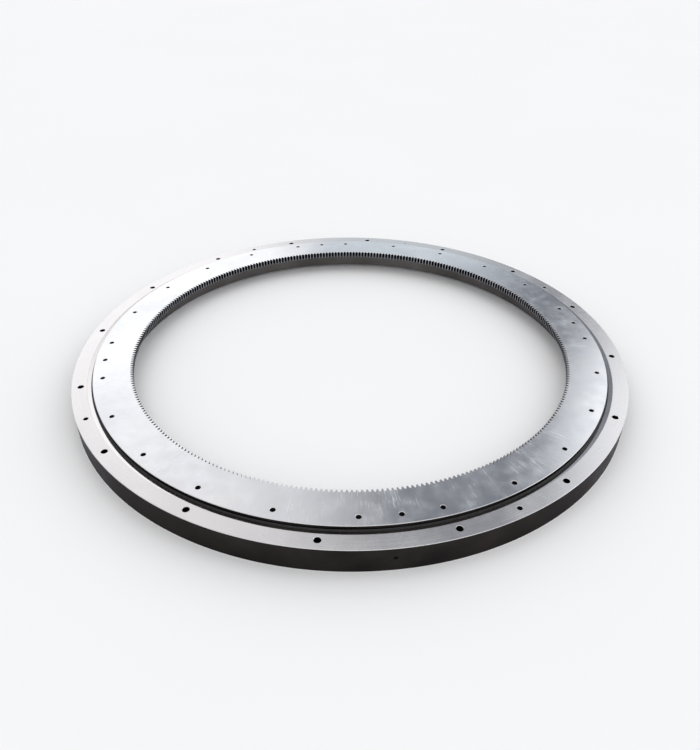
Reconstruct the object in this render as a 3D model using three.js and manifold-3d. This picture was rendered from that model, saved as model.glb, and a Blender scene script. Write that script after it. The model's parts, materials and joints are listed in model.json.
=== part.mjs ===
// Slewing ring bearing: one row of four-point contact balls between two steel rings, with gear
// teeth inside the inner ring. Lengths are in millimetres and angles in degrees. +Z is up along
// the axis of rotation, and the origin is on that axis in the outer ring's lower mounting face.

import * as THREE from 'three';
import { mergeVertices } from 'three/addons/utils/BufferGeometryUtils.js';
import Module from 'manifold-3d';

const wasm = await Module();
wasm.setup();

// Driving dimensions
const OUTER_RADIUS = 877.5;
const RING_HEIGHT = 74;             // both rings are equally tall
const RING_OFFSET = 10;             // the inner ring stands this much higher than the outer ring
const BALL_RADIUS = 15;
const BALL_CIRCLE_RADIUS = 817;
const BALL_COUNT = 144;
const GEAR_MODULE = 4;
const GEAR_TEETH = 350;
const GEAR_FACE_WIDTH = 20;
const PRESSURE_ANGLE = 20;
const OUTER_BOLT_CIRCLE_RADIUS = 850;
const INNER_BOLT_CIRCLE_RADIUS = 785;
const CLEARANCE_HOLE_RADIUS = 9;    // for M16
const TAPPED_HOLE_RADIUS = 7;       // core of M16
const FIT_GAP = 0.4;                // between pieces that touch or nearly touch
const FACETS = 64;                  // flats around each ring
const BEYOND = 5;                   // how far a cutting shape stands out of what it cuts
const OVERLAP = 1;                  // how far two joined cutting shapes run into each other

// Sides of the small cylinders
const BOLT_HOLE_SIDES = 12;
const TAPPED_HOLE_SIDES = 10;
const LOADING_PLUG_SIDES = 20;
const GREASE_PORT_SIDES = 12;
const PASSAGE_SIDES = 8;
const HEXAGON_SIDES = 6;
const SPACER_SIDES = 8;

// Places around the axis
const OUTER_HOLE_PITCH = 22.5;
const OUTER_FIRST_HOLE = 17.6;
const LIFTING_HOLE_ANGLE = OUTER_FIRST_HOLE + OUTER_HOLE_PITCH / 2;
const LOADING_PLUG_ANGLE = OUTER_FIRST_HOLE + 2.5 * OUTER_HOLE_PITCH;
const GREASE_PORT_ANGLE = 7;        // a little past the middle between two bolt holes
const INNER_HOLE_PITCH = 15;
const INNER_FIRST_HOLE = 1.6;

// Heights and radii that follow
const TOP = RING_HEIGHT + RING_OFFSET;
const RACEWAY_HEIGHT = TOP / 2;
const RACEWAY_GROOVE_RADIUS = 15.8;
const HALF_RING_GAP = 1;
const HALF_SEAL_GAP = 2.6;          // the gap between the rings is wider where the seals sit
const SEAL_SPACE = 12;
const SEAL_GROOVE_DEPTH = 5;
const SEAL_GROOVE_WIDTH = 6;
const SEAL_GROOVE_INSET = 3.5;      // from the edge of the ring that the gap opens at
const EDGE_CHAMFER = 1.5;
const SEAL_LIP_FALL = 1;            // the lip slopes down by this much towards the other ring
const LAND_RADIUS = 831.5;          // the land beside the upper seal slopes down to the seal
const LAND_DROP = 2.5;
const INNER_BODY_RADIUS = 736;      // bore below the toothed flange
const TAPPED_HOLE_DEPTH = 36;
const LOADING_PLUG_RADIUS = 15.5;
const TAPER_PIN_RADIUS = 4;
const TAPER_PIN_LENGTH = 57;
const TAPER_PIN_RECESS = 1;
const GREASE_PORT_RADIUS = 5;
const GREASE_PORT_DEPTH = 16;
const GREASE_PASSAGE_RADIUS = 2.5;
const GREASE_PLUG_LENGTH = 10;
const GREASE_PLUG_RECESS = 2.5;
const GREASE_PLUG_SOCKET_RADIUS = 2.9;
const GREASE_PLUG_SOCKET_DEPTH = 5;
const SPACER_RADIUS = 9.5;
const MODELLED_BALLS = 18;          // evenly spread out of BALL_COUNT, with one spacer after each

const OUTER_RING_BORE = BALL_CIRCLE_RADIUS + HALF_RING_GAP;
const OUTER_RING_MOUTH = BALL_CIRCLE_RADIUS + HALF_SEAL_GAP;
const INNER_RING_WALL = BALL_CIRCLE_RADIUS - HALF_RING_GAP;
const INNER_RING_NECK = BALL_CIRCLE_RADIUS - HALF_SEAL_GAP;
const TAPER_PIN_BOTTOM = RING_HEIGHT - TAPER_PIN_RECESS - TAPER_PIN_LENGTH;

const steel = { color: 0xc9ccd0, roughness: 0.35, metalness: 1.0 };
const looks = {
  outerRing: { ...steel, color: 0xb9bbbf, roughness: 0.45 },
  innerRing: steel,
  seal: { color: 0x15161a, roughness: 0.6, metalness: 0.0 },
  plug: { ...steel, color: 0xa9abb0 },
  pin: { ...steel, color: 0x8d9096 },
  greasePlug: { color: 0x2a2b2f, roughness: 0.5, metalness: 0.8 },
  ball: { color: 0xdfe2e6, roughness: 0.1, metalness: 1.0 },
  spacer: { color: 0xe8e4d6, roughness: 0.6, metalness: 0.0 },
};

const radians = (degrees) => (degrees * Math.PI) / 180;

// A hollow's corners lie outside its radius, so that its flats touch the radius.
const hollow = (radius) => radius / Math.cos(Math.PI / FACETS);

function toSolid(geometry) {
  geometry.deleteAttribute('normal');
  geometry.deleteAttribute('uv');
  const merged = mergeVertices(geometry, 1e-4);
  return new wasm.Manifold(new wasm.Mesh({
    numProp: 3,
    vertProperties: merged.attributes.position.array,
    triVerts: Uint32Array.from(merged.index.array),
  }));
}

function toGeometry(solid) {
  const mesh = solid.getMesh();
  const geometry = new THREE.BufferGeometry();
  geometry.setAttribute('position', new THREE.BufferAttribute(mesh.vertProperties, 3));
  geometry.setIndex(new THREE.BufferAttribute(mesh.triVerts, 1));
  return geometry;
}

function addMesh(parent, name, geometry, look) {
  const mesh = new THREE.Mesh(geometry, new THREE.MeshStandardMaterial(look));
  mesh.name = name;
  parent.add(mesh);
  return mesh;
}

// Ring of revolution about Z from a closed outline of [radius, height], outer side going up.
function revolve(outline) {
  const points = [...outline, outline[0]].map(([radius, height]) => new THREE.Vector2(radius, height));
  return new THREE.LatheGeometry(points, FACETS).rotateX(Math.PI / 2);
}

// Upright cylinder between two heights, at a radius and angle from the axis.
function uprightCylinder(radius, bottom, top, distance, angle, sides) {
  const cylinder = new THREE.CylinderGeometry(radius, radius, top - bottom, sides).rotateX(Math.PI / 2);
  cylinder.translate(distance, 0, (bottom + top) / 2);
  return cylinder.rotateZ(radians(angle));
}

// Radial cylinder at the height of the raceway, between two distances from the axis.
function radialCylinder(radius, from, to, angle, sides) {
  const cylinder = new THREE.CylinderGeometry(radius, radius, to - from, sides).rotateZ(-Math.PI / 2);
  cylinder.translate((from + to) / 2, 0, RACEWAY_HEIGHT);
  return cylinder.rotateZ(radians(angle));
}

function circle(count, first, pitch = 360 / count) {
  return Array.from({ length: count }, (_, index) => first + index * pitch);
}

// Half circle of the raceway groove, as corners around it, going from one edge to the other.
function racewayArc(wallRadius, side, steps = 6) {
  const opening = Math.acos(HALF_RING_GAP / RACEWAY_GROOVE_RADIUS);
  const corner = RACEWAY_GROOVE_RADIUS / Math.cos(opening / steps);
  const arc = [[wallRadius, RACEWAY_HEIGHT + side * RACEWAY_GROOVE_RADIUS * Math.sin(opening)]];
  for (let step = 0; step < steps; step += 1) {
    const angle = opening * (1 - (2 * step + 1) / steps);
    arc.push([
      BALL_CIRCLE_RADIUS + side * corner * Math.cos(angle),
      RACEWAY_HEIGHT + side * corner * Math.sin(angle),
    ]);
  }
  arc.push([wallRadius, RACEWAY_HEIGHT - side * RACEWAY_GROOVE_RADIUS * Math.sin(opening)]);
  return arc;
}

function outerRingBlank() {
  const grooveTop = RING_HEIGHT - SEAL_GROOVE_INSET;
  const grooveBottom = grooveTop - SEAL_GROOVE_WIDTH;
  const bore = [
    [LAND_RADIUS, RING_HEIGHT],
    [OUTER_RING_MOUTH, RING_HEIGHT - LAND_DROP],
    [OUTER_RING_MOUTH, grooveTop],
    [OUTER_RING_MOUTH + SEAL_GROOVE_DEPTH, grooveTop],
    [OUTER_RING_MOUTH + SEAL_GROOVE_DEPTH, grooveBottom],
    [OUTER_RING_MOUTH, grooveBottom],
    [OUTER_RING_MOUTH, RING_HEIGHT - SEAL_SPACE],
    [OUTER_RING_BORE, RING_HEIGHT - SEAL_SPACE],
    ...racewayArc(OUTER_RING_BORE, 1),
    [OUTER_RING_BORE, RING_OFFSET + SEAL_SPACE],
    [OUTER_RING_MOUTH, RING_OFFSET + SEAL_SPACE],
    [OUTER_RING_MOUTH, 0],
  ];
  return toSolid(revolve([
    [OUTER_RADIUS - EDGE_CHAMFER, 0],
    [OUTER_RADIUS, EDGE_CHAMFER],
    [OUTER_RADIUS, RING_HEIGHT - EDGE_CHAMFER],
    [OUTER_RADIUS - EDGE_CHAMFER, RING_HEIGHT],
    ...bore.map(([radius, height]) => [hollow(radius), height]),
  ]));
}

function taperPinShape(radius, bottom, top) {
  return uprightCylinder(
    radius, bottom, top, OUTER_BOLT_CIRCLE_RADIUS, LOADING_PLUG_ANGLE, BOLT_HOLE_SIDES);
}

// Port in the rim, with a narrower passage from its floor into the raceway.
function greasePortShape(angle) {
  const floor = OUTER_RADIUS - GREASE_PORT_DEPTH;
  const inRaceway = BALL_CIRCLE_RADIUS + RACEWAY_GROOVE_RADIUS / 2;
  const port = radialCylinder(GREASE_PORT_RADIUS, floor, OUTER_RADIUS + BEYOND, angle, GREASE_PORT_SIDES);
  const passage = radialCylinder(GREASE_PASSAGE_RADIUS, inRaceway, floor + OVERLAP, angle, PASSAGE_SIDES);
  return toSolid(port).add(toSolid(passage));
}

function tappedHole(faceHeight, distance, angle) {
  const bottom = faceHeight - TAPPED_HOLE_DEPTH;
  return uprightCylinder(
    TAPPED_HOLE_RADIUS, bottom, faceHeight + BEYOND, distance, angle, TAPPED_HOLE_SIDES);
}

function outerRing(blank) {
  const boltHoles = circle(16, OUTER_FIRST_HOLE).map((angle) => toSolid(uprightCylinder(
    CLEARANCE_HOLE_RADIUS, -BEYOND, RING_HEIGHT + BEYOND, OUTER_BOLT_CIRCLE_RADIUS, angle, BOLT_HOLE_SIDES)));
  const liftingHoles = circle(4, LIFTING_HOLE_ANGLE).map((angle) => toSolid(
    tappedHole(RING_HEIGHT, OUTER_BOLT_CIRCLE_RADIUS, angle)));
  const greasePorts = circle(4, GREASE_PORT_ANGLE).map(greasePortShape);
  const plugBore = toSolid(radialCylinder(
    LOADING_PLUG_RADIUS + FIT_GAP, BALL_CIRCLE_RADIUS, OUTER_RADIUS + BEYOND,
    LOADING_PLUG_ANGLE, LOADING_PLUG_SIDES));
  const pinHole = toSolid(taperPinShape(
    TAPER_PIN_RADIUS + FIT_GAP, TAPER_PIN_BOTTOM - FIT_GAP, RING_HEIGHT + BEYOND));
  const cuts = [...boltHoles, ...liftingHoles, ...greasePorts, plugBore, pinHole];
  return toGeometry(cuts.reduce((ring, cut) => ring.subtract(cut), blank));
}

// The plug closes the hole that the balls went in by, and carries its own piece of raceway.
function loadingPlug(blank) {
  const shaft = radialCylinder(
    LOADING_PLUG_RADIUS, BALL_CIRCLE_RADIUS, OUTER_RADIUS + BEYOND, LOADING_PLUG_ANGLE, LOADING_PLUG_SIDES);
  const pinHole = taperPinShape(TAPER_PIN_RADIUS + FIT_GAP, 0, RING_HEIGHT);
  return toGeometry(blank.intersect(toSolid(shaft)).subtract(toSolid(pinHole)));
}

function taperPin() {
  return taperPinShape(TAPER_PIN_RADIUS, TAPER_PIN_BOTTOM, RING_HEIGHT - TAPER_PIN_RECESS);
}

// Grub screw with a hexagon socket, along +X from its inner end.
function greasePlug() {
  const radius = GREASE_PORT_RADIUS - FIT_GAP;
  const screw = new THREE.CylinderGeometry(radius, radius, GREASE_PLUG_LENGTH, GREASE_PORT_SIDES);
  const socket = new THREE.CylinderGeometry(
    GREASE_PLUG_SOCKET_RADIUS, GREASE_PLUG_SOCKET_RADIUS, 2 * GREASE_PLUG_SOCKET_DEPTH, HEXAGON_SIDES);
  socket.translate(0, GREASE_PLUG_LENGTH / 2, 0);
  return toGeometry(toSolid(screw).subtract(toSolid(socket))).rotateZ(-Math.PI / 2);
}

// The space inside the gear, with the gaps between its straight-sided teeth.
function gearSpace() {
  const pitchRadius = (GEAR_MODULE * GEAR_TEETH) / 2;
  const tipRadius = pitchRadius - GEAR_MODULE;
  const rootRadius = pitchRadius + 1.25 * GEAR_MODULE;
  const flankSlope = Math.tan(radians(PRESSURE_ANGLE));
  const halfThickness = (radius) => (Math.PI * GEAR_MODULE) / 4 + (radius - pitchRadius) * flankSlope;
  const corners = [];
  for (const toothAngle of circle(GEAR_TEETH, 0)) {
    for (const [radius, side] of [[rootRadius, -1], [tipRadius, -1], [tipRadius, 1], [rootRadius, 1]]) {
      const angle = radians(toothAngle) + (side * halfThickness(radius)) / radius;
      corners.push(new THREE.Vector2(radius * Math.cos(angle), radius * Math.sin(angle)));
    }
  }
  return new THREE.ExtrudeGeometry(new THREE.Shape(corners), { depth: TOP, bevelEnabled: false })
    .translate(0, 0, TOP - 2 * GEAR_FACE_WIDTH);
}

function innerRing() {
  const flangeBottom = TOP - GEAR_FACE_WIDTH;
  const flangeRadius = (GEAR_MODULE * GEAR_TEETH) / 2 - 2 * GEAR_MODULE;
  const grooveBottom = RING_OFFSET + SEAL_GROOVE_INSET;
  const grooveTop = grooveBottom + SEAL_GROOVE_WIDTH;
  let ring = toSolid(revolve([
    [INNER_RING_NECK, RING_OFFSET],
    [INNER_RING_NECK, grooveBottom],
    [INNER_RING_NECK - SEAL_GROOVE_DEPTH, grooveBottom],
    [INNER_RING_NECK - SEAL_GROOVE_DEPTH, grooveTop],
    [INNER_RING_NECK, grooveTop],
    [INNER_RING_NECK, RING_OFFSET + SEAL_SPACE],
    [INNER_RING_WALL, RING_OFFSET + SEAL_SPACE],
    ...racewayArc(INNER_RING_WALL, -1),
    [INNER_RING_WALL, RING_HEIGHT - SEAL_SPACE],
    [INNER_RING_NECK, RING_HEIGHT - SEAL_SPACE],
    [INNER_RING_NECK, TOP - EDGE_CHAMFER],
    [INNER_RING_NECK - EDGE_CHAMFER, TOP],
    [flangeRadius, TOP],
    [flangeRadius, flangeBottom],
    [INNER_BODY_RADIUS, flangeBottom],
    [INNER_BODY_RADIUS, RING_OFFSET],
  ]));
  ring = ring.subtract(toSolid(gearSpace()));
  const angles = [...circle(24, INNER_FIRST_HOLE), ...circle(4, INNER_FIRST_HOLE + INNER_HOLE_PITCH / 2)];
  for (const angle of angles) {
    ring = ring.subtract(toSolid(tappedHole(TOP, INNER_BOLT_CIRCLE_RADIUS, angle)));
  }
  return toGeometry(ring);
}

// Seal outline for the upper gap: a bead held in the ring's groove, and a lip towards the other
// ring. The distances are from the ball circle, outwards, and up from the bottom of the gap space.
const SEAL_OUTLINE = (() => {
  const reach = HALF_SEAL_GAP - FIT_GAP;
  const beadBottom = SEAL_SPACE - SEAL_GROOVE_INSET - SEAL_GROOVE_WIDTH + FIT_GAP;
  const beadTop = SEAL_SPACE - SEAL_GROOVE_INSET - FIT_GAP;
  const beadEnd = reach + SEAL_GROOVE_DEPTH;
  const lipTop = SEAL_SPACE - LAND_DROP - FIT_GAP;
  return [
    [beadEnd, beadBottom],
    [beadEnd, beadTop],
    [reach, beadTop],
    [reach, lipTop],
    [-reach, lipTop - SEAL_LIP_FALL],
    [-reach, beadBottom + SEAL_LIP_FALL],
  ];
})();

function upperSeal() {
  const outline = SEAL_OUTLINE.map(([reach, height]) => {
    const radius = BALL_CIRCLE_RADIUS + reach;
    return [reach < 0 ? hollow(radius) : radius, RING_HEIGHT - SEAL_SPACE + height];
  });
  return revolve(outline);
}

// The lower seal is the same outline turned over: its bead is in the inner ring.
function lowerSeal() {
  const outline = SEAL_OUTLINE.map(([reach, height]) => {
    const radius = BALL_CIRCLE_RADIUS - reach;
    return [reach > 0 ? hollow(radius) : radius, RING_OFFSET + SEAL_SPACE - height];
  });
  return revolve(outline);
}

// Plastic spacer with a hollow for a ball at each end, its axis along the ball circle.
function spacer() {
  const halfSpacing = BALL_CIRCLE_RADIUS * Math.sin(Math.PI / BALL_COUNT);
  const cupRadius = BALL_RADIUS + 1.5 * FIT_GAP;
  const cup = [0, SPACER_RADIUS / 2, SPACER_RADIUS].map((radius) => (
    new THREE.Vector2(radius, halfSpacing - Math.sqrt(cupRadius ** 2 - radius ** 2))));
  const otherCup = cup.map(({ x, y }) => new THREE.Vector2(x, -y));
  return new THREE.LatheGeometry([...otherCup, ...cup.reverse()], SPACER_SIDES);
}

const bearing = new THREE.Group();
const blank = outerRingBlank();

addMesh(bearing, 'outer_ring', outerRing(blank), looks.outerRing);
addMesh(bearing, 'loading_plug', loadingPlug(blank), looks.plug);
addMesh(bearing, 'taper_pin', taperPin(), looks.pin);
addMesh(bearing, 'upper_seal', upperSeal(), looks.seal);

circle(4, GREASE_PORT_ANGLE).forEach((angle, index) => {
  const turned = new THREE.Group();
  turned.rotation.z = radians(angle);
  const plug = addMesh(turned, `grease_plug_${index + 1}`, greasePlug(), looks.greasePlug);
  plug.position.set(OUTER_RADIUS - GREASE_PLUG_RECESS - GREASE_PLUG_LENGTH / 2, 0, RACEWAY_HEIGHT);
  bearing.add(turned);
});

addMesh(bearing, 'inner_ring', innerRing(), looks.innerRing);
addMesh(bearing, 'lower_seal', lowerSeal(), looks.seal);

circle(MODELLED_BALLS, 0).forEach((angle, index) => {
  const turned = new THREE.Group();
  turned.rotation.z = radians(angle);
  const sphere = new THREE.IcosahedronGeometry(BALL_RADIUS, 1);
  const ball = addMesh(turned, `ball_${index + 1}`, sphere, looks.ball);
  ball.position.set(BALL_CIRCLE_RADIUS, 0, RACEWAY_HEIGHT);
  bearing.add(turned);

  const behind = new THREE.Group();
  behind.rotation.z = radians(angle + 180 / BALL_COUNT);
  const gap = addMesh(behind, `spacer_${index + 1}`, spacer(), looks.spacer);
  gap.position.set(BALL_CIRCLE_RADIUS, 0, RACEWAY_HEIGHT);
  bearing.add(behind);
});

export default bearing;
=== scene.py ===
"""Slewing ring bearing: fine meshes, materials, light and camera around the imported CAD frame."""

import json
import math

import bmesh
import bpy
from mathutils import Matrix, Vector


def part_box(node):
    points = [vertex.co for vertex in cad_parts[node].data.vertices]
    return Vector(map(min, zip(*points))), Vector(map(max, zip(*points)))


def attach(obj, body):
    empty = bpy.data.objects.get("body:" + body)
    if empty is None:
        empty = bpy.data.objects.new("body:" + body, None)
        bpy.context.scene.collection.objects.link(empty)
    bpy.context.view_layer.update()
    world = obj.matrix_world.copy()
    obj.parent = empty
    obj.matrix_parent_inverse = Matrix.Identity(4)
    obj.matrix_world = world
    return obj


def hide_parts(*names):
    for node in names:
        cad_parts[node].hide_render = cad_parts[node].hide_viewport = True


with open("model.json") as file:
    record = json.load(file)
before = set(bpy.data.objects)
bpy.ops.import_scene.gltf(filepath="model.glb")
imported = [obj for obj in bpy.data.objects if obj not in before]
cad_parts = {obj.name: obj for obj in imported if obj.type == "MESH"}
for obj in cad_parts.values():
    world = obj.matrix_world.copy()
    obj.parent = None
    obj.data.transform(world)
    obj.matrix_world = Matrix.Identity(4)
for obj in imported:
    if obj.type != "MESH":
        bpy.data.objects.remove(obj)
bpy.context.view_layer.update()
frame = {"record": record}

MM = 0.001

# ---------------------------------------------------------------- sizes, in metres, from the frame

_, OUTER_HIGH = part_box("outer_ring")
INNER_LOW, INNER_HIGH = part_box("inner_ring")
BALL_LOW, BALL_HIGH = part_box("ball_1")
PIN_LOW, PIN_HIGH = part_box("taper_pin")

OUTER_RADIUS = OUTER_HIGH.x
OUTER_TOP = OUTER_HIGH.z
INNER_TOP = INNER_HIGH.z
INNER_BOTTOM = INNER_LOW.z
BALL_RADIUS = (BALL_HIGH.z - BALL_LOW.z) / 2
RACEWAY_HEIGHT = (BALL_HIGH.z + BALL_LOW.z) / 2
BALL_CIRCLE = (BALL_HIGH.x + BALL_LOW.x) / 2
HALF_RING_GAP = BALL_CIRCLE - INNER_HIGH.x
PIN_LENGTH = PIN_HIGH.z - PIN_LOW.z

# The rest of the design, as in the CAD model
BALL_COUNT = 144
GEAR_MODULE = 4 * MM
GEAR_TEETH = 350
GEAR_FACE_WIDTH = 20 * MM
PRESSURE_ANGLE = math.radians(20)
PITCH_RADIUS = GEAR_MODULE * GEAR_TEETH / 2
OUTER_BOLT_CIRCLE = 850 * MM
INNER_BOLT_CIRCLE = 785 * MM
CLEARANCE_HOLE = 9 * MM
TAPPED_CORE = 7 * MM
TAPPED_DEPTH = 36 * MM
OUTER_FIRST_HOLE = 17.6
OUTER_HOLE_PITCH = 22.5
INNER_FIRST_HOLE = 1.6
INNER_HOLE_PITCH = 15
LOADING_PLUG_ANGLE = OUTER_FIRST_HOLE + 2.5 * OUTER_HOLE_PITCH
GREASE_PORT_ANGLE = 7
HALF_SEAL_GAP = 2.6 * MM
SEAL_SPACE = 12 * MM
SEAL_GROOVE_DEPTH = 5 * MM
SEAL_GROOVE_WIDTH = 6 * MM
SEAL_GROOVE_INSET = 3.5 * MM
LAND_RADIUS = 831.5 * MM
LAND_DROP = 2.5 * MM
INNER_BODY_RADIUS = 736 * MM
LOADING_PLUG_RADIUS = 15.5 * MM

# Details that are only in this fine model, or are finer here
RACEWAY_GROOVE_RADIUS = 15.6 * MM
BALL_CLEARANCE = 0.05 * MM          # at the four contact points, 45 degrees up and down
EDGE_CHAMFER = 1.2 * MM
LIP_CHAMFER = 0.6 * MM              # on the outer ring's lip over the seal
LAND_STEP = 0.3 * MM
HOLE_CHAMFER = 0.9 * MM
FILLET = 4 * MM                     # under the toothed flange
THREAD_PITCH = 2 * MM
THREADED_DEPTH = 20 * MM
DRILL_POINT = 4 * MM                # depth of the cone that a drill leaves
LOADING_PLUG_CHAMFER = 0.6 * MM
LOADING_PLUG_GAP = 0.15 * MM
PIN_RADIUS = 3.4 * MM               # at the thin end
PIN_HOLE_CHAMFER = 0.6 * MM
PIN_HOLE_END = 3.55 * MM            # radius of the pin's hole at its bottom
GREASE_PORT_CORE = 4.5 * MM
GREASE_PORT_DEPTH = 16 * MM
GREASE_PORT_CHAMFER = 1 * MM
GREASE_THREAD_PITCH = 1 * MM
GREASE_PASSAGE = 2.5 * MM
GREASE_PLUG_RECESS = 2.5 * MM
SPLICE_ANGLE = 313
BLUNT = 0.5 * MM                    # radius that a pointed shape ends with
THROUGH = 1 * MM                    # how far a cutter stands out of what it cuts

OUTER_COLUMNS = 720
INNER_COLUMNS = 2 * GEAR_TEETH
TOOTH_POINTS = 13                   # corners of the gear's outline for each tooth


# ---------------------------------------------------------------- mesh helpers

def circle(count, first=0.0):
    """Angles in degrees, evenly spaced around the axis."""
    return [first + index * 360 / count for index in range(count)]


def finish_mesh(mesh, materials, sharp_angle=32):
    """Gives a mesh its materials and smooth shading. Edges that bend by more than the angle stay sharp."""
    for material in materials:
        mesh.materials.append(material)
    mesh.polygons.foreach_set("use_smooth", [True] * len(mesh.polygons))
    mesh.set_sharp_from_angle(angle=math.radians(sharp_angle))
    mesh.update()


def mesh_from(name, vertices, faces, indices=None):
    mesh = bpy.data.meshes.new(name)
    mesh.from_pydata(vertices, [], faces)
    if indices:
        mesh.polygons.foreach_set("material_index", indices)
    return mesh


def face_outwards(mesh):
    """Turns every face of a closed mesh to the outside."""
    work = bmesh.new()
    work.from_mesh(mesh)
    bmesh.ops.recalc_face_normals(work, faces=work.faces)
    work.to_mesh(mesh)
    work.free()


def add_piece(name, mesh, body, slot, *nodes):
    """A piece of the object that moves with a body and stands for CAD nodes."""
    piece = bpy.data.objects.new(name, mesh)
    bpy.context.scene.collection.objects.link(piece)
    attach(piece, body)
    if nodes:
        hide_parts(*nodes)


def revolve(name, profile):
    """Closed ring of revolution. The profile goes round the section with its outer side going up,
    as (radius, height, material index of the wall that starts there)."""
    rows = len(profile)
    vertices = []
    for column in range(OUTER_COLUMNS):
        angle = 2 * math.pi * column / OUTER_COLUMNS
        vertices += [(r * math.cos(angle), r * math.sin(angle), z) for r, z, _ in profile]
    faces = []
    indices = []
    for column in range(OUTER_COLUMNS):
        here = column * rows
        there = (column + 1) % OUTER_COLUMNS * rows
        for row in range(rows):
            above = (row + 1) % rows
            faces.append((here + row, there + row, there + above, here + above))
            indices.append(profile[row][2])
    return mesh_from(name, vertices, faces, indices)


def turned(rows, sides=32, pitch=THREAD_PITCH):
    """Solid body of revolution about Z from rows of (radius, height) or (radius, height, thread depth).
    Rows with a thread depth swell and shrink along a helix of that pitch."""
    vertices = []
    for radius, height, *depth in rows:
        for side in range(sides):
            share = side / sides
            phase = (height / pitch + share) % 1.0
            reach = radius + (depth[0] * (1 - abs(2 * phase - 1)) if depth else 0.0)
            angle = 2 * math.pi * share
            vertices.append((reach * math.cos(angle), reach * math.sin(angle), height))
    faces = [tuple(range(sides))]
    for row in range(len(rows) - 1):
        upper = row * sides
        lower = upper + sides
        for side in range(sides):
            after = (side + 1) % sides
            faces.append((upper + side, lower + side, lower + after, upper + after))
    last = (len(rows) - 1) * sides
    faces.append(tuple(reversed(range(last, last + sides))))
    return vertices, faces


def threaded_rows(core, depth, top, bottom, pitch=THREAD_PITCH):
    """Rows of a thread between two heights, four for each pitch."""
    count = round((top - bottom) / pitch * 4)
    return [(core, top - (top - bottom) * row / count, depth) for row in range(count + 1)]


def placed(shape, matrix):
    """The same vertices and faces, moved by a matrix."""
    vertices, faces = shape
    return [tuple(matrix @ Vector(v)) for v in vertices], faces


def joined(shapes):
    """One vertex and face list out of several."""
    vertices = []
    faces = []
    for shape_vertices, shape_faces in shapes:
        start = len(vertices)
        vertices += shape_vertices
        faces += [tuple(start + corner for corner in face) for face in shape_faces]
    return vertices, faces


def combine(mesh, shape, operation, wall_index):
    """Cuts a shape out of a mesh, or keeps what they share. New walls take the wall's material index."""
    vertices, faces = shape
    tool_mesh = mesh_from("tool", vertices, faces, [wall_index] * len(faces))
    face_outwards(tool_mesh)
    body = bpy.data.objects.new("body", mesh)
    tool = bpy.data.objects.new("tool", tool_mesh)
    for thing in (body, tool):
        bpy.context.scene.collection.objects.link(thing)
    boolean = body.modifiers.new("boolean", "BOOLEAN")
    boolean.operation = operation
    boolean.solver = "EXACT"
    boolean.object = tool
    evaluated = body.evaluated_get(bpy.context.evaluated_depsgraph_get())
    result = bpy.data.meshes.new_from_object(evaluated)
    bpy.data.objects.remove(body)
    bpy.data.objects.remove(tool)
    return result


def upright(distance, angle, height):
    """Places a shape made about Z at a radius and angle, with its zero at a height."""
    turn = Matrix.Rotation(math.radians(angle), 4, "Z")
    return turn @ Matrix.Translation((distance, 0, height))


def radial(distance, angle):
    """Lays a shape's Z along the radius at the raceway's height, pointing outwards, with its zero at
    a distance."""
    return upright(distance, angle, RACEWAY_HEIGHT) @ Matrix.Rotation(math.pi / 2, 4, "Y")


# ---------------------------------------------------------------- shapes of the rings

# Material indices of both rings. The tooth flanks (GEAR) are painted dark as shade and the tooth tips (TIP)
# light as a highlight.
FACE, RIM, LAND, BORE, EDGE, HOLE, GEAR, TIP = range(8)


def raceway(wall_radius, side):
    """Four-point groove: two arcs that meet in a pointed arch, going up on the inner ring (side -1)
    and down on the outer ring (side 1)."""
    steps = 9
    shift = (RACEWAY_GROOVE_RADIUS - BALL_RADIUS - BALL_CLEARANCE) / math.sqrt(2)
    opening = math.acos((HALF_RING_GAP + shift) / RACEWAY_GROOVE_RADIUS)
    apex = math.asin(shift / RACEWAY_GROOVE_RADIUS)
    arc = []
    for step in range(steps + 1):
        angle = opening + (apex - opening) * step / steps
        arc.append((BALL_CIRCLE + side * (RACEWAY_GROOVE_RADIUS * math.cos(angle) - shift),
                    RACEWAY_GROOVE_RADIUS * math.sin(angle) - shift))
    arc[0] = (wall_radius, arc[0][1])
    other = [(radius, -height) for radius, height in reversed(arc[:-1])]
    return [(radius, RACEWAY_HEIGHT + side * height, LAND) for radius, height in arc + other]


def outer_blank():
    """The outer ring before its holes are drilled."""
    mouth = BALL_CIRCLE + HALF_SEAL_GAP
    bore = BALL_CIRCLE + HALF_RING_GAP
    groove_top = OUTER_TOP - SEAL_GROOVE_INSET
    groove_bottom = groove_top - SEAL_GROOVE_WIDTH
    land = OUTER_TOP - LAND_DROP
    profile = [
        (OUTER_RADIUS - EDGE_CHAMFER, 0, EDGE),
        (OUTER_RADIUS, EDGE_CHAMFER, RIM),
        (OUTER_RADIUS, OUTER_TOP - EDGE_CHAMFER, EDGE),
        (OUTER_RADIUS - EDGE_CHAMFER, OUTER_TOP, FACE),
        (LAND_RADIUS, OUTER_TOP, LAND),
        (LAND_RADIUS - LAND_STEP / 2, OUTER_TOP - LAND_STEP, LAND),
        (mouth + LIP_CHAMFER, land, EDGE),
        (mouth, land - LIP_CHAMFER, BORE),
        (mouth, groove_top, BORE),
        (mouth + SEAL_GROOVE_DEPTH, groove_top, BORE),
        (mouth + SEAL_GROOVE_DEPTH, groove_bottom, BORE),
        (mouth, groove_bottom, BORE),
        (mouth, OUTER_TOP - SEAL_SPACE, BORE),
        (bore, OUTER_TOP - SEAL_SPACE, BORE),
        *raceway(bore, 1),
        (bore, INNER_BOTTOM + SEAL_SPACE, BORE),
        (mouth, INNER_BOTTOM + SEAL_SPACE, BORE),
        (mouth, EDGE_CHAMFER, EDGE),
        (mouth + EDGE_CHAMFER, 0, FACE),
    ]
    return revolve("outer_ring_fine", profile)


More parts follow.
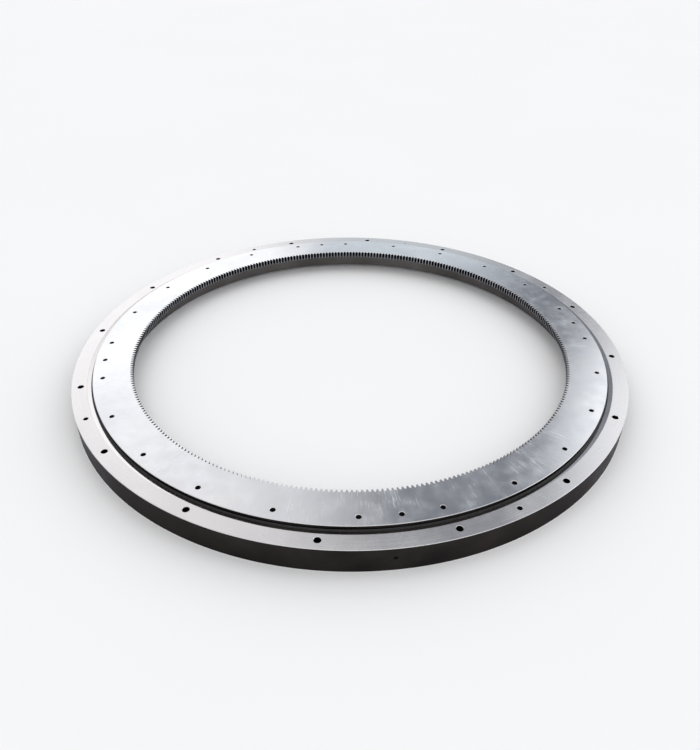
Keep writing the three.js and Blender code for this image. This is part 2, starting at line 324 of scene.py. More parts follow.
def clearance_hole():
    """Cutter for a plain hole with both mouths chamfered, with its zero in the upper face."""
    flare = CLEARANCE_HOLE + HOLE_CHAMFER + THROUGH
    return turned([
        (flare, THROUGH),
        (CLEARANCE_HOLE, -HOLE_CHAMFER),
        (CLEARANCE_HOLE, HOLE_CHAMFER - OUTER_TOP),
        (flare, -OUTER_TOP - THROUGH),
    ], sides=48)


def tapped_hole():
    """Cutter for a blind M16 hole, with its zero in the face: chamfer, thread, core and drill point."""
    return turned([
        (TAPPED_CORE + HOLE_CHAMFER + THROUGH, THROUGH),
        (TAPPED_CORE, -HOLE_CHAMFER),
        *threaded_rows(TAPPED_CORE, THREAD_PITCH / 2, -HOLE_CHAMFER, -THREADED_DEPTH),
        (TAPPED_CORE, -TAPPED_DEPTH),
        (BLUNT, -TAPPED_DEPTH - DRILL_POINT),
    ])


def grease_port():
    """Cutter for a threaded port and its passage, with its zero in the rim and Z pointing out."""
    thread = threaded_rows(GREASE_PORT_CORE, GREASE_THREAD_PITCH / 2, -GREASE_PORT_CHAMFER,
                           -GREASE_PORT_DEPTH, GREASE_THREAD_PITCH)
    taper = 2 * MM
    past_the_wall = 10 * MM
    return turned([
        (GREASE_PORT_CORE + 1.2 * GREASE_PORT_CHAMFER + THROUGH, THROUGH),
        (GREASE_PORT_CORE, -GREASE_PORT_CHAMFER),
        *thread,
        (GREASE_PASSAGE, -GREASE_PORT_DEPTH - taper),
        (GREASE_PASSAGE, BALL_CIRCLE + past_the_wall - OUTER_RADIUS),
    ], pitch=GREASE_THREAD_PITCH)


def plug_bore():
    """Cutter for the hole that the balls are loaded by."""
    radius = LOADING_PLUG_RADIUS + LOADING_PLUG_GAP
    chamfer = 0.5 * MM
    return turned([
        (radius + chamfer + THROUGH, THROUGH),
        (radius, -chamfer),
        (radius, BALL_CIRCLE - OUTER_RADIUS),
    ], sides=64)


def pin_hole():
    """Cutter for the taper pin's hole, already in its place over the loading plug."""
    radius = PIN_RADIUS + PIN_LENGTH / 100
    below_the_pin = 1 * MM
    shape = turned([
        (radius + PIN_HOLE_CHAMFER + THROUGH, THROUGH),
        (radius, -PIN_HOLE_CHAMFER),
        (PIN_HOLE_END, PIN_LOW.z - OUTER_TOP - below_the_pin),
    ], sides=24)
    return placed(shape, upright(OUTER_BOLT_CIRCLE, LOADING_PLUG_ANGLE, OUTER_TOP))


def mark_chamfers(mesh, *planes):
    """The mouths of the holes in flat faces are bright, like the other chamfers."""
    for polygon in mesh.polygons:
        in_mouth = any(abs(polygon.center.z - plane) < HOLE_CHAMFER for plane in planes)
        if polygon.material_index == HOLE and in_mouth:
            polygon.material_index = EDGE


def outer_ring(materials):
    """The outer ring with 16 clearance holes, 4 tapped ones, grease ports and the loading hole."""
    plain = [placed(clearance_hole(), upright(OUTER_BOLT_CIRCLE, angle, OUTER_TOP))
             for angle in circle(16, OUTER_FIRST_HOLE)]
    tapped = [placed(tapped_hole(), upright(OUTER_BOLT_CIRCLE, angle, OUTER_TOP))
              for angle in circle(4, OUTER_FIRST_HOLE + OUTER_HOLE_PITCH / 2)]
    ports = [placed(grease_port(), radial(OUTER_RADIUS, angle)) for angle in circle(4, GREASE_PORT_ANGLE)]
    loading = placed(plug_bore(), radial(OUTER_RADIUS, LOADING_PLUG_ANGLE))
    holes = joined(plain + tapped + ports + [loading])
    mesh = combine(outer_blank(), holes, "DIFFERENCE", HOLE)
    mesh = combine(mesh, pin_hole(), "DIFFERENCE", HOLE)
    mark_chamfers(mesh, 0, OUTER_TOP)
    finish_mesh(mesh, materials)
    add_piece("outer_ring_fine", mesh, "outer", "outer_ring_steel", "outer_ring")


def tooth_outline(inset):
    """Outline of all the gear's teeth, drawn back by an inset, as points around the axis.
    Flanks are involutes. The outline starts in the middle of the gap before the first tooth."""
    base_radius = PITCH_RADIUS * math.cos(PRESSURE_ANGLE)
    tip = PITCH_RADIUS - GEAR_MODULE + inset
    root = PITCH_RADIUS + 1.25 * GEAR_MODULE + inset
    half_pitch = math.pi / GEAR_TEETH

    def half_angle(radius):
        pressure = math.acos(base_radius / radius)
        widening = math.tan(pressure) - pressure - math.tan(PRESSURE_ANGLE) + PRESSURE_ANGLE
        return half_pitch / 2 + widening - inset / radius

    fillet = root - 1.5 * MM
    rounding = 0.35 * MM
    flank = [fillet + (tip + rounding - fillet) * step / 3 for step in range(4)]
    half = [(root, (half_pitch + half_angle(root)) / 2)]
    half += [(radius, half_angle(radius)) for radius in flank]
    half.append((tip, half_angle(tip) - rounding / tip))
    points = []
    for tooth in range(GEAR_TEETH):
        middle = 2 * half_pitch * tooth
        corners = [(root, -half_pitch)] + [(radius, -angle) for radius, angle in half] + half[::-1]
        points += [(radius * math.cos(middle + angle), radius * math.sin(middle + angle))
                   for radius, angle in corners]
    return points


def inner_profile():
    """Section of the inner ring without its teeth, from under the flange round to the top face."""
    neck = BALL_CIRCLE - HALF_SEAL_GAP
    wall = BALL_CIRCLE - HALF_RING_GAP
    groove_bottom = INNER_BOTTOM + SEAL_GROOVE_INSET
    groove_top = groove_bottom + SEAL_GROOVE_WIDTH
    flange_bottom = INNER_TOP - GEAR_FACE_WIDTH
    flange_start = PITCH_RADIUS + 3 * GEAR_MODULE
    fillet = [(INNER_BODY_RADIUS - FILLET + FILLET * math.cos(angle),
               flange_bottom - FILLET + FILLET * math.sin(angle), BORE)
              for angle in (math.pi / 2, math.pi / 3, math.pi / 6, 0)]
    return [
        (flange_start, flange_bottom, BORE),
        *fillet,
        (INNER_BODY_RADIUS, INNER_BOTTOM + EDGE_CHAMFER, EDGE),
        (INNER_BODY_RADIUS + EDGE_CHAMFER, INNER_BOTTOM, FACE),
        (neck - EDGE_CHAMFER, INNER_BOTTOM, EDGE),
        (neck, INNER_BOTTOM + EDGE_CHAMFER, RIM),
        (neck, groove_bottom, RIM),
        (neck - SEAL_GROOVE_DEPTH, groove_bottom, RIM),
        (neck - SEAL_GROOVE_DEPTH, groove_top, RIM),
        (neck, groove_top, RIM),
        (neck, INNER_BOTTOM + SEAL_SPACE, RIM),
        (wall, INNER_BOTTOM + SEAL_SPACE, RIM),
        *raceway(wall, -1),
        (wall, OUTER_TOP - SEAL_SPACE, RIM),
        (neck, OUTER_TOP - SEAL_SPACE, RIM),
        (neck, INNER_TOP - EDGE_CHAMFER, EDGE),
        (neck - EDGE_CHAMFER, INNER_TOP, FACE),
        (flange_start, INNER_TOP, FACE),
    ]


def wall_faces(here, count, there, next_count):
    """Faces between two loops of points that start at two vertex numbers. Loops of equal length are
    joined by four-sided faces. A plain circle and a toothed outline are joined by one face a tooth."""
    if count == next_count:
        return [(here + column, here + (column + 1) % count, there + (column + 1) % count, there + column)
                for column in range(count)]
    share = count // GEAR_TEETH
    next_share = next_count // GEAR_TEETH
    faces = []
    for tooth in range(GEAR_TEETH):
        edge = [here + (tooth * share + step) % count for step in range(share + 1)]
        back = [there + (tooth * next_share + step) % next_count for step in range(next_share + 1)]
        faces.append(tuple(edge + back[::-1]))
    return faces


def inner_blank():
    """The inner ring before its holes are drilled: plain walls of revolution, and a toothed flange."""
    half_pitch = math.pi / GEAR_TEETH
    chamfer = 0.5 * MM
    profile = inner_profile()
    loops = [[(r * math.cos(half_pitch * (column - 1)), r * math.sin(half_pitch * (column - 1)), z)
              for column in range(INNER_COLUMNS)] for r, z, _ in profile]
    indices = [index for _, _, index in profile]
    flange_bottom = INNER_TOP - GEAR_FACE_WIDTH
    for height, inset, index in (
        (INNER_TOP, chamfer, EDGE),
        (INNER_TOP - chamfer, 0, GEAR),
        (flange_bottom + chamfer, 0, EDGE),
        (flange_bottom, chamfer, BORE),
    ):
        loops.append([(x, y, height) for x, y in tooth_outline(inset)])
        indices.append(index)

    vertices = [point for loop in loops for point in loop]
    starts = [sum(len(loop) for loop in loops[:row]) for row in range(len(loops))]
    faces = []
    face_indices = []
    for row, index in enumerate(indices):
        after = (row + 1) % len(loops)
        wall = wall_faces(starts[row], len(loops[row]), starts[after], len(loops[after]))
        faces += wall
        for column in range(len(wall)):
            # Tooth tips get the lighter copy of the gear material, a painted highlight.
            on_tip = index == GEAR and column % TOOTH_POINTS == TOOTH_POINTS // 2
            face_indices.append(TIP if on_tip else index)
    mesh = mesh_from("inner_ring_fine", vertices, faces, face_indices)
    face_outwards(mesh)
    return mesh


def inner_ring(materials):
    """The inner ring with 24 tapped holes for its bolts and 4 more between them."""
    angles = circle(24, INNER_FIRST_HOLE) + circle(4, INNER_FIRST_HOLE + INNER_HOLE_PITCH / 2)
    holes = [placed(tapped_hole(), upright(INNER_BOLT_CIRCLE, angle, INNER_TOP)) for angle in angles]
    mesh = combine(inner_blank(), joined(holes), "DIFFERENCE", HOLE)
    mark_chamfers(mesh, INNER_TOP)
    finish_mesh(mesh, materials)
    add_piece("inner_ring_fine", mesh, "inner", "inner_ring_steel", "inner_ring")


# ---------------------------------------------------------------- seals, plugs, balls

def seal_profile():
    """Seal section as (distance outwards from the ball circle, height above the gap's inner end):
    a bead in the groove, a rounded upper lip and a lower lip, both towards the other ring."""
    points_in_mm = [
        (7.2, 3.2), (7.2, 7.8), (6.9, 8.1), (2.5, 8.1), (2.4, 9.3), (1.6, 9.9), (0.6, 9.7),
        (-0.4, 9.1), (-1.0, 9.6), (-1.5, 10.3), (-2.1, 10.5), (-2.5, 10.0), (-2.52, 9.4), (-1.9, 8.5),
        (-0.6, 7.6), (-0.2, 6.2), (-1.2, 5.2), (-2.5, 4.9), (-2.4, 4.2), (-0.8, 3.6), (1.5, 3.2), (6.9, 2.9),
    ]
    return [(reach * MM, height * MM) for reach, height in points_in_mm]


def splice_shape():
    """Small ridge of rubber where the two ends of the upper seal are joined, with its zero on the ball
    circle in the outer ring's top face. It is lower at both ends than in the middle."""
    ridge_in_mm = [
        (1.1, -2.9), (1.7, -2.1), (1.5, -0.9), (0.8, -0.5), (0.0, -0.9), (-0.4, -1.7), (-0.4, -2.9),
    ]
    foot = ridge_in_mm[0][1]
    half_length = 1.6 * MM
    half_crown = 0.8 * MM
    end_share = 0.7
    stations = ((-half_length, end_share), (-half_crown, 1.0), (half_crown, 1.0), (half_length, end_share))
    vertices = []
    for along, share in stations:
        vertices += [(reach * MM, along, (foot + share * (height - foot)) * MM)
                     for reach, height in ridge_in_mm]
    count = len(ridge_in_mm)
    last = (len(stations) - 1) * count
    faces = [tuple(range(count)), tuple(reversed(range(last, last + count)))]
    for row in range(len(stations) - 1):
        for corner in range(count):
            after = (corner + 1) % count
            faces.append((row * count + corner, (row + 1) * count + corner,
                          (row + 1) * count + after, row * count + after))
    return vertices, faces


def seals(material):
    section = seal_profile()
    upper_profile = [(BALL_CIRCLE + r, OUTER_TOP - SEAL_SPACE + z, 0) for r, z in section]
    lower_profile = [(BALL_CIRCLE - r, INNER_BOTTOM + SEAL_SPACE - z, 0) for r, z in section]
    upper = revolve("upper_seal_fine", upper_profile)
    lower = revolve("lower_seal_fine", lower_profile)
    splice = mesh_from("seal_splice", *placed(splice_shape(), upright(BALL_CIRCLE, SPLICE_ANGLE, OUTER_TOP)))
    for mesh in (upper, lower, splice):
        finish_mesh(mesh, [material], sharp_angle=60)
    add_piece("upper_seal_fine", upper, "outer", "seal_rubber", "upper_seal")
    add_piece("seal_splice", splice, "outer", "seal_rubber")
    add_piece("lower_seal_fine", lower, "inner", "seal_rubber", "lower_seal")


def loading_plug(material):
    """Round plug through the outer ring's wall. It is cut out of the ring's own section, so that its
    inner end carries the raceway on."""
    shaft = turned([
        (LOADING_PLUG_RADIUS - LOADING_PLUG_CHAMFER, THROUGH),
        (LOADING_PLUG_RADIUS - LOADING_PLUG_CHAMFER, 0),
        (LOADING_PLUG_RADIUS, -LOADING_PLUG_CHAMFER),
        (LOADING_PLUG_RADIUS, BALL_CIRCLE - OUTER_RADIUS),
    ], sides=64)
    shaft = placed(shaft, radial(OUTER_RADIUS, LOADING_PLUG_ANGLE))
    mesh = combine(outer_blank(), shaft, "INTERSECT", 0)
    mesh = combine(mesh, pin_hole(), "DIFFERENCE", 0)
    mesh.polygons.foreach_set("material_index", [0] * len(mesh.polygons))
    mesh.materials.clear()
    finish_mesh(mesh, [material])
    add_piece("loading_plug_fine", mesh, "outer", "plug_steel", "loading_plug")


def taper_pin(material):
    """Pin that widens by 1 in 50 towards its rounded upper end, with a short point below."""
    head = PIN_RADIUS + PIN_LENGTH / 100
    rounding = 0.2 * MM
    swelling = 0.05 * MM
    point = 0.5 * MM
    shape = turned([
        (head - rounding, PIN_LENGTH),
        (head, PIN_LENGTH - 1.5 * rounding),
        (head - swelling, PIN_LENGTH - 4 * rounding),
        (PIN_RADIUS, point),
        (PIN_RADIUS - point, 0),
    ])
    shape = placed(shape, upright(OUTER_BOLT_CIRCLE, LOADING_PLUG_ANGLE, PIN_LOW.z))
    mesh = mesh_from("taper_pin_fine", *shape)
    finish_mesh(mesh, [material])
    add_piece("taper_pin_fine", mesh, "outer", "pin_steel", "taper_pin")


def grease_plugs(material):
    """Black grub screws with a hexagon socket, a little below the rim."""
    core = GREASE_PORT_CORE - 0.15 * MM
    length = 10 * MM
    chamfer = 0.6 * MM
    thread_depth = 0.45 * MM
    thread_start = 0.8 * MM
    socket_radius = 2.9 * MM
    socket_depth = 5 * MM
    cone_depth = 1.2 * MM
    cone_end = 0.4 * MM
    screw = turned([
        (core - chamfer, 0),
        (core, -chamfer),
        *threaded_rows(core, thread_depth, -thread_start, thread_start - length, GREASE_THREAD_PITCH),
        (core - 2 * chamfer, -length),
    ], pitch=GREASE_THREAD_PITCH)
    socket = turned([
        (socket_radius, THROUGH),
        (socket_radius, -socket_depth),
        (cone_end, -socket_depth - cone_depth),
    ], sides=6)
    for index, angle in enumerate(circle(4, GREASE_PORT_ANGLE)):
        node = f"grease_plug_{index + 1}"
        mesh = combine(mesh_from(node, *screw), socket, "DIFFERENCE", 0)
        mesh.transform(radial(OUTER_RADIUS - GREASE_PLUG_RECESS, angle))
        finish_mesh(mesh, [material])
        add_piece(f"{node}_fine", mesh, "outer", "grease_plug_steel", node)


def ball_shape():
    rings = 14
    angles = [math.pi * ring / rings for ring in range(1, rings)]
    rows = [(BALL_RADIUS * math.sin(angle), BALL_RADIUS * math.cos(angle)) for angle in angles]
    return turned(rows, sides=24)


def spacer_shape():
    """Plastic disc made about Z, with a cup in each end for the ball beside it."""
    half_ball_pitch = BALL_CIRCLE * math.sin(math.pi / BALL_COUNT)
    cup = BALL_RADIUS + 0.35 * MM
    cup_edge = 9 * MM
    rounding = 0.5 * MM
    half = [(radius, half_ball_pitch - math.sqrt(cup ** 2 - radius ** 2))
            for radius in (BLUNT, 3.2 * MM, 6.4 * MM, cup_edge)]
    half.append((cup_edge + rounding, half[-1][1] - rounding))
    return turned(half + [(radius, -height) for radius, height in reversed(half)], sides=28)


def rolling_set(ball_material, spacer_material):
    """The whole row of balls, with a two-cupped spacer between each ball and the next."""
    ball = ball_shape()
    spacer = spacer_shape()
    spacer_circle = BALL_CIRCLE * math.cos(math.pi / BALL_COUNT)
    along = Matrix.Rotation(math.pi / 2, 4, "X")
    balls = [placed(ball, upright(BALL_CIRCLE, angle, RACEWAY_HEIGHT))
             for angle in circle(BALL_COUNT)]
    spacers = [placed(spacer, upright(spacer_circle, angle, RACEWAY_HEIGHT) @ along)
               for angle in circle(BALL_COUNT, 180 / BALL_COUNT)]
    members = frame["record"]["behaviour"]["bodies"]["rolling_set"]
    for name, shapes, material, slot in (
        ("ball", balls, ball_material, "ball_steel"),
        ("spacer", spacers, spacer_material, "spacer_plastic"),
    ):
        mesh = mesh_from(f"{name}_row", *joined(shapes))
        finish_mesh(mesh, [material], sharp_angle=40)
        nodes = [node for node in members if node.startswith(name)]
        add_piece(f"{name}_row", mesh, "rolling_set", slot, *nodes)


# ---------------------------------------------------------------- materials

class Look:
    """A material with a few shorthands for its node tree."""

    def __init__(self, name, **surface):
        self.material = bpy.data.materials.new(name)
        self.material.use_nodes = True
        self.nodes = self.material.node_tree.nodes
        self.links = self.material.node_tree.links
        self.surface = self.nodes["Principled BSDF"]
        for socket, value in surface.items():
            self.surface.inputs[socket.replace("_", " ")].default_value = value
        self.place = self.nodes.new("ShaderNodeTexCoord").outputs["Object"]
        flat = self.math3("MULTIPLY", self.place, (1, 1, 0))
        self.direction = self.math3("NORMALIZE", flat)
        self.radius = self.math3("LENGTH", flat, output="Value")
        self.height = self.split(self.place, "Z")

    def put(self, socket, value):
        """Links an output to a socket, or sets the socket to a plain value."""
        if isinstance(value, bpy.types.NodeSocket):
            self.links.new(value, socket)
        else:
            socket.default_value = value

    def math3(self, operation, first, second=None, output="Vector"):
        node = self.nodes.new("ShaderNodeVectorMath")
        node.operation = operation
        self.put(node.inputs[0], first)
        if second is not None:
            self.put(node.inputs[3 if operation == "SCALE" else 1], second)
        return node.outputs[output]

    def math(self, operation, first, second):
        node = self.nodes.new("ShaderNodeMath")
        node.operation = operation
        self.put(node.inputs[0], first)
        self.put(node.inputs[1], second)
        return node.outputs[0]

    def split(self, vector, axis):
        node = self.nodes.new("ShaderNodeSeparateXYZ")
        self.put(node.inputs[0], vector)
        return node.outputs[axis]

    def noise(self, vector, scale=1.0, detail=3.0):
        node = self.nodes.new("ShaderNodeTexNoise")
        self.put(node.inputs["Vector"], vector)
        node.inputs["Scale"].default_value = scale
        node.inputs["Detail"].default_value = detail
        node.inputs["Roughness"].default_value = 0.55
        return node.outputs["Fac"]

    def polar_noise(self, around, across, detail=2.0, height=False):
        """Noise stretched along the turning direction or across it, in features per metre each way.
        Across is along the radius, or up the height. The angle enters as a direction, so no seam shows."""
        travel = self.math3("SCALE", self.direction, around * OUTER_BOLT_CIRCLE)
        coordinate = self.height if height else self.radius
        level = self.nodes.new("ShaderNodeCombineXYZ")
        self.put(level.inputs["Z"], self.math("MULTIPLY", coordinate, across))
        return self.noise(self.math3("ADD", travel, level.outputs[0]), detail=detail)

    def ramp(self, value, low, high, start, end):
        """Maps a value between low and high to start and end, clamped."""
        node = self.nodes.new("ShaderNodeMapRange")
        self.put(node.inputs["Value"], value)
        for name, number in (("From Min", low), ("From Max", high), ("To Min", start), ("To Max", end)):
            node.inputs[name].default_value = number
        return node.outputs[0]

    def spread(self, noise, start, end):
        """Maps the range that a noise mostly stays in to start and end."""
        return self.ramp(noise, 0.3, 0.7, start, end)

    def blend(self, share, first, second):
        """A colour between two colours."""
        node = self.nodes.new("ShaderNodeMix")
        node.data_type = "RGBA"
        self.put(node.inputs["Factor"], share)
        self.put(node.inputs["A"], (*first, 1) if isinstance(first, tuple) else first)
        self.put(node.inputs["B"], (*second, 1) if isinstance(second, tuple) else second)
        return node.outputs["Result"]

    def bump(self, height, distance, strength, normal=None):
        node = self.nodes.new("ShaderNodeBump")
        node.inputs["Distance"].default_value = distance
        node.inputs["Strength"].default_value = strength
        self.put(node.inputs["Height"], height)
        if normal is not None:
            self.put(node.inputs["Normal"], normal)
        return node.outputs["Normal"]

    def wear(self, **sockets):
        """Connects outputs to the surface's sockets and returns the material."""
        for socket, value in sockets.items():
            self.put(self.surface.inputs[socket.replace("_", " ")], value)
        return self.material


def ground_face():
    """Top of the inner ring: ground and oiled, with handling scratches that run outwards. Its cloudy tone
    and bluish patches are painted reflections.
    """
    look = Look("ground_face", Metallic=1.0)
    reflection_clouds = look.noise(look.place, scale=4, detail=6)
    film = look.noise(look.place, scale=22, detail=5)
    lines = look.polar_noise(around=4, across=1400)
    scratches = look.polar_noise(around=330, across=22, detail=1)
    patches = look.ramp(look.noise(look.place, scale=5.5, detail=2), 0.48, 0.66, 0, 1)
    marks = look.math("MULTIPLY", look.ramp(scratches, 0.56, 0.74, 0, 1), patches)
    # Painted reflection: cloudy tone between two greys, then bluish patches where the film noise is high.
    colour = look.blend(look.spread(reflection_clouds, 0, 1), (0.57, 0.585, 0.61), (0.74, 0.745, 0.755))
    colour = look.blend(look.ramp(film, 0.45, 0.75, 0, 0.35), colour, (0.82, 0.85, 0.9))
    colour = look.blend(look.math("MULTIPLY", marks, 0.6), colour, (0.93, 0.93, 0.94))
    roughness = look.math("ADD", look.spread(film, 0.12, 0.26), look.math("MULTIPLY", marks, 0.22))
    normal = look.bump(lines, 0.02 * MM, 0.35)
    normal = look.bump(marks, 0.04 * MM, 0.4, normal)
    return look.wear(Base_Color=colour, Roughness=roughness, Normal=normal)


def satin_face():
    """Top of the outer ring: finely turned, even and satin."""
    look = Look("satin_face", Metallic=1.0)
    lines = look.polar_noise(around=3, across=2600, detail=3)
    film = look.noise(look.place, scale=9, detail=4)
    specks = look.ramp(look.noise(look.place, scale=260, detail=2), 0.7, 0.76, 0, 0.6)
    colour = look.blend(look.ramp(film, 0.35, 0.7, 0, 1), (0.62, 0.612, 0.615), (0.69, 0.68, 0.684))
    colour = look.blend(specks, colour, (0.3, 0.29, 0.28))
    sheen = look.spread(film, 0.22, 0.3)
    roughness = look.math("ADD", sheen, look.spread(lines, -0.04, 0.04))
    return look.wear(Base_Color=colour, Roughness=roughness, Normal=look.bump(lines, 0.02 * MM, 0.1))


def rim_painted_dark_reflection():
    """Outside of the rings: oiled and finely turned, with faint streaks. Its near-black brown colour is a
    painted reflection of a dark floor.
    """
    look = Look("rim_painted_dark_reflection", Metallic=1.0, Specular_Tint=(0.6, 0.58, 0.6, 1))
    lines = look.polar_noise(around=5, across=1800, detail=3, height=True)
    streaks = look.noise(look.place, scale=7, detail=5)
    # Painted reflection of a dark floor: near-black brown in place of bright steel.
    colour = look.blend(look.ramp(streaks, 0.35, 0.7, 0, 1), (0.02, 0.0185, 0.0175), (0.042, 0.037, 0.034))
    roughness = look.spread(streaks, 0.3, 0.46)
    return look.wear(Base_Color=colour, Roughness=roughness, Normal=look.bump(lines, 0.03 * MM, 0.4))


def polished_land():
    """Raceways and the land beside the seal: bright and smooth."""
    look = Look("polished_land", Metallic=1.0)
    lines = look.polar_noise(around=2, across=3000)
    film = look.noise(look.place, scale=20, detail=3)
    colour = look.blend(film, (0.6, 0.59, 0.59), (0.72, 0.71, 0.71))
    return look.wear(Base_Color=colour, Roughness=look.spread(film, 0.08, 0.16),
                     Normal=look.bump(lines, 0.01 * MM, 0.3))


def bore_painted_dark_reflection():
    """Plain walls inside: turned, under an oil film. Their brown-grey colour is a painted reflection of a
    dark floor.
    """
    look = Look("bore_painted_dark_reflection", Metallic=1.0)
    lines = look.polar_noise(around=5, across=1500, detail=3, height=True)
    streaks = look.noise(look.place, scale=6, detail=5)
    # Painted reflection of a dark floor: brown-grey in place of bright steel.
    colour = look.blend(look.ramp(streaks, 0.35, 0.7, 0, 1), (0.1, 0.093, 0.09), (0.17, 0.16, 0.157))
    return look.wear(Base_Color=colour, Roughness=look.spread(streaks, 0.35, 0.5),
                     Normal=look.bump(lines, 0.03 * MM, 0.4))


def bright_edge():
    """Chamfers: bare bright steel with small nicks."""
    look = Look("bright_edge", Metallic=1.0)
    nicks = look.noise(look.place, scale=160, detail=3)
    colour = look.blend(nicks, (0.66, 0.66, 0.67), (0.84, 0.84, 0.85))
    return look.wear(Base_Color=colour, Roughness=look.spread(nicks, 0.2, 0.42),
                     Normal=look.bump(nicks, 0.04 * MM, 0.5))


def hole_wall_painted_shade():
    """Inside the holes: nearly black as painted shade, with old oil."""
    look = Look("hole_wall_painted_shade", Metallic=1.0, Specular_Tint=(0.3, 0.3, 0.3, 1))
    shade_and_grime = look.noise(look.place, scale=90, detail=4)
    # Painted shade: near-black inside the holes.
    colour = look.blend(shade_and_grime, (0.006, 0.006, 0.008), (0.024, 0.022, 0.021))
    return look.wear(Base_Color=colour, Roughness=look.spread(shade_and_grime, 0.4, 0.6),
                     Normal=look.bump(shade_and_grime, 0.1 * MM, 0.5))


def cut_gear(name, dark, light):
    """Teeth: milled across the face, with oil. Painted light: the flanks get a near-black blue-grey copy as
    shade, the tips a lighter copy as a highlight.
    """
    look = Look(name, Metallic=1.0)
    feed = look.polar_noise(around=30, across=900, detail=3, height=True)
    stain = look.noise(look.place, scale=25, detail=4)
    colour = look.blend(look.ramp(stain, 0.35, 0.7, 0, 1), dark, light)
    return look.wear(Base_Color=colour, Roughness=look.spread(stain, 0.28, 0.45),
                     Normal=look.bump(feed, 0.05 * MM, 0.5))


def seal_rubber():
    """Black rubber with a little dust."""
    look = Look("seal_rubber", Specular_IOR_Level=0.5)
    dust = look.noise(look.place, scale=60, detail=5)
    grain = look.noise(look.place, scale=1500, detail=2)
    colour = look.blend(look.ramp(dust, 0.4, 0.75, 0, 1), (0.006, 0.006, 0.008), (0.02, 0.02, 0.022))
    return look.wear(Base_Color=colour, Roughness=look.spread(dust, 0.22, 0.4),
                     Normal=look.bump(grain, 0.05 * MM, 0.4))


def plain_steel(name, dark, light, rough):
    """Turned or ground small steel pieces."""
    look = Look(name, Metallic=1.0)
    grain = look.noise(look.place, scale=300, detail=4)
    colour = look.blend(look.spread(grain, 0, 1), dark, light)
    return look.wear(Base_Color=colour, Roughness=look.spread(grain, rough - 0.08, rough + 0.08),
                     Normal=look.bump(grain, 0.03 * MM, 0.4))


def spacer_plastic():
    """Cream-coloured moulded plastic."""
    look = Look("spacer_plastic", Subsurface_Weight=0.1)
    mottle = look.noise(look.place, scale=120, detail=4)
    colour = look.blend(mottle, (0.8, 0.77, 0.66), (0.88, 0.86, 0.78))
    return look.wear(Base_Color=colour, Roughness=look.spread(mottle, 0.45, 0.6),
                     Normal=look.bump(mottle, 0.1 * MM, 0.3))


# ---------------------------------------------------------------- stage, light and camera

def floor():
    """Pale painted floor just under the lower face, so wide that its edge is far away."""
    half_width = 60
    clearance = 0.3 * MM
    mesh = bpy.data.meshes.new("floor")
    work = bmesh.new()
    bmesh.ops.create_grid(work, x_segments=4, y_segments=4, size=half_width)
    work.to_mesh(mesh)
    work.free()
    look = Look("floor_paint", Roughness=0.9)
    tone = look.noise(look.place, scale=0.7, detail=2)
    look.wear(Base_Color=look.blend(tone, (0.93, 0.93, 0.93), (0.96, 0.96, 0.96)))
    mesh.materials.append(look.material)
    ground = bpy.data.objects.new("floor", mesh)
    ground.location.z = -clearance
    bpy.context.scene.collection.objects.link(ground)


def aim(azimuth, elevation):
    """Unit vector towards a direction in degrees."""
    around, up = math.radians(azimuth), math.radians(elevation)
    return math.cos(up) * math.cos(around), math.cos(up) * math.sin(around), math.sin(up)


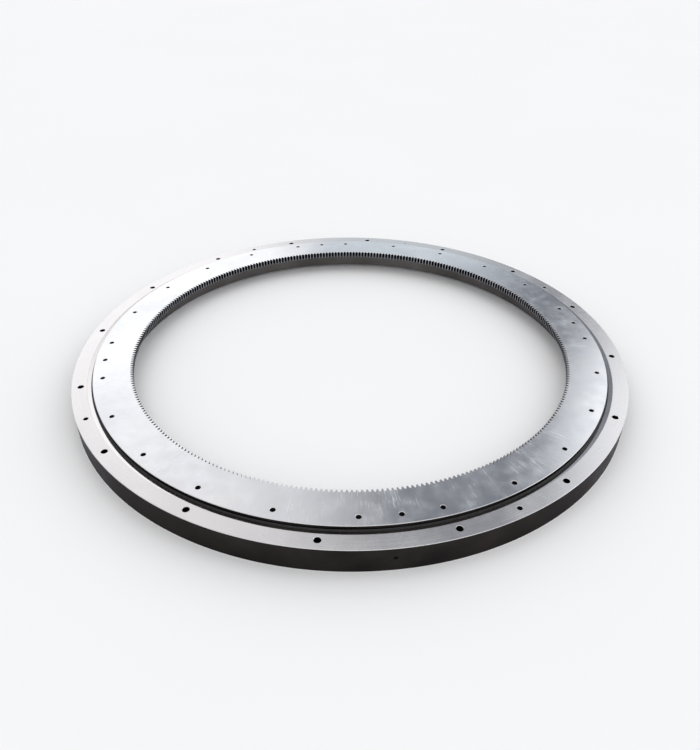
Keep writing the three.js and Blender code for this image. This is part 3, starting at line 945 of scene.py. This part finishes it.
def surround():
    """Pale studio around the object: soft panels of light, each melting into the grey between them."""
    world = bpy.data.worlds.new("surround")
    world.use_nodes = True
    bpy.context.scene.world = world
    nodes = world.node_tree.nodes
    links = world.node_tree.links
    direction = nodes.new("ShaderNodeTexCoord").outputs["Generated"]

    def panel(behind, azimuth, elevation, core, reach, light):
        """Blends a light over what is behind it: whole within the core angle, none beyond the reach."""
        nearness = nodes.new("ShaderNodeVectorMath")
        nearness.operation = "DOT_PRODUCT"
        links.new(direction, nearness.inputs[0])
        nearness.inputs[1].default_value = aim(azimuth, elevation)
        share = nodes.new("ShaderNodeMapRange")
        share.interpolation_type = "SMOOTHSTEP"
        share.inputs["From Min"].default_value = math.cos(math.radians(reach))
        share.inputs["From Max"].default_value = math.cos(math.radians(core))
        links.new(nearness.outputs["Value"], share.inputs["Value"])
        blend = nodes.new("ShaderNodeMix")
        blend.data_type = "RGBA"
        links.new(share.outputs[0], blend.inputs["Factor"])
        if isinstance(behind, tuple):
            blend.inputs["A"].default_value = (*behind, 1)
        else:
            links.new(behind, blend.inputs["A"])
        blend.inputs["B"].default_value = (*light, 1)
        return blend.outputs["Result"]

    light = (0.27, 0.285, 0.32)
    for azimuth, elevation, core, reach, glow in (
        (0, -90, 98, 113, (0.9, 0.91, 0.92)),       # the ground, up to a pale band over the horizon
        (270, 25, 30, 75, (0.85, 0.85, 0.86)),      # behind the camera
        (178, 30, 22, 52, (0.72, 0.73, 0.75)),      # left
        (85, 17, 6, 15, (0.93, 1.0, 1.06)),         # low, behind the object
        (47, 33, 12, 20, (1.7, 1.72, 1.76)),        # back right
        (10, 32, 14, 34, (1.3, 1.32, 1.35)),        # right
        (114, 40, 8, 23, (1.14, 1.12, 1.13)),       # back left, high
        (112, 22, 11, 20, (1.52, 1.51, 1.52)),      # back left, low
        (0, 90, 22, 40, (1.25, 1.25, 1.25)),        # overhead
    ):
        light = panel(light, azimuth, elevation, core, reach, glow)
    links.new(light, nodes["Background"].inputs["Color"])


def camera():
    """Looks down on the ring from the front, along +Y, with the horizon a hair off level."""
    distance = 2.134 * OUTER_RADIUS
    height = OUTER_TOP + 1.333 * OUTER_RADIUS
    looking_down = 34.77
    roll = 0.285
    data = bpy.data.cameras.new("camera")
    data.sensor_width = 36
    data.lens = 31.81
    data.clip_end = 200
    eye = bpy.data.objects.new("camera", data)
    bpy.context.scene.collection.objects.link(eye)
    eye.matrix_world = (
        Matrix.Translation((0, -distance, height))
        @ Matrix.Rotation(math.radians(90 - looking_down), 4, "X")
        @ Matrix.Rotation(math.radians(roll), 4, "Z")
    )
    bpy.context.scene.camera = eye


# ---------------------------------------------------------------- the object

ring_walls = {
    RIM: rim_painted_dark_reflection(),
    LAND: polished_land(),
    BORE: bore_painted_dark_reflection(),
    EDGE: bright_edge(),
    HOLE: hole_wall_painted_shade(),
    # Painted shade on the flanks and a painted highlight on the tips, as a dark and a light copy of one
    # material.
    GEAR: cut_gear("gear_flank_painted_shade", (0.008, 0.009, 0.013), (0.03, 0.032, 0.042)),
    TIP: cut_gear("gear_tip_painted_highlight", (0.25, 0.26, 0.29), (0.4, 0.41, 0.44)),
}
outer_ring([satin_face(), *ring_walls.values()])
inner_ring([ground_face(), *ring_walls.values()])
seals(seal_rubber())
loading_plug(plain_steel("plug_steel", (0.2, 0.19, 0.18), (0.32, 0.31, 0.3), 0.35))
taper_pin(plain_steel("pin_steel", (0.25, 0.25, 0.26), (0.4, 0.4, 0.41), 0.3))
grease_plugs(plain_steel("black_oxide", (0.015, 0.015, 0.018), (0.035, 0.035, 0.04), 0.45))
rolling_set(plain_steel("ball_steel", (0.8, 0.81, 0.82), (0.86, 0.87, 0.88), 0.1), spacer_plastic())

floor()
surround()
camera()
bpy.context.scene.view_settings.view_transform = "Standard"
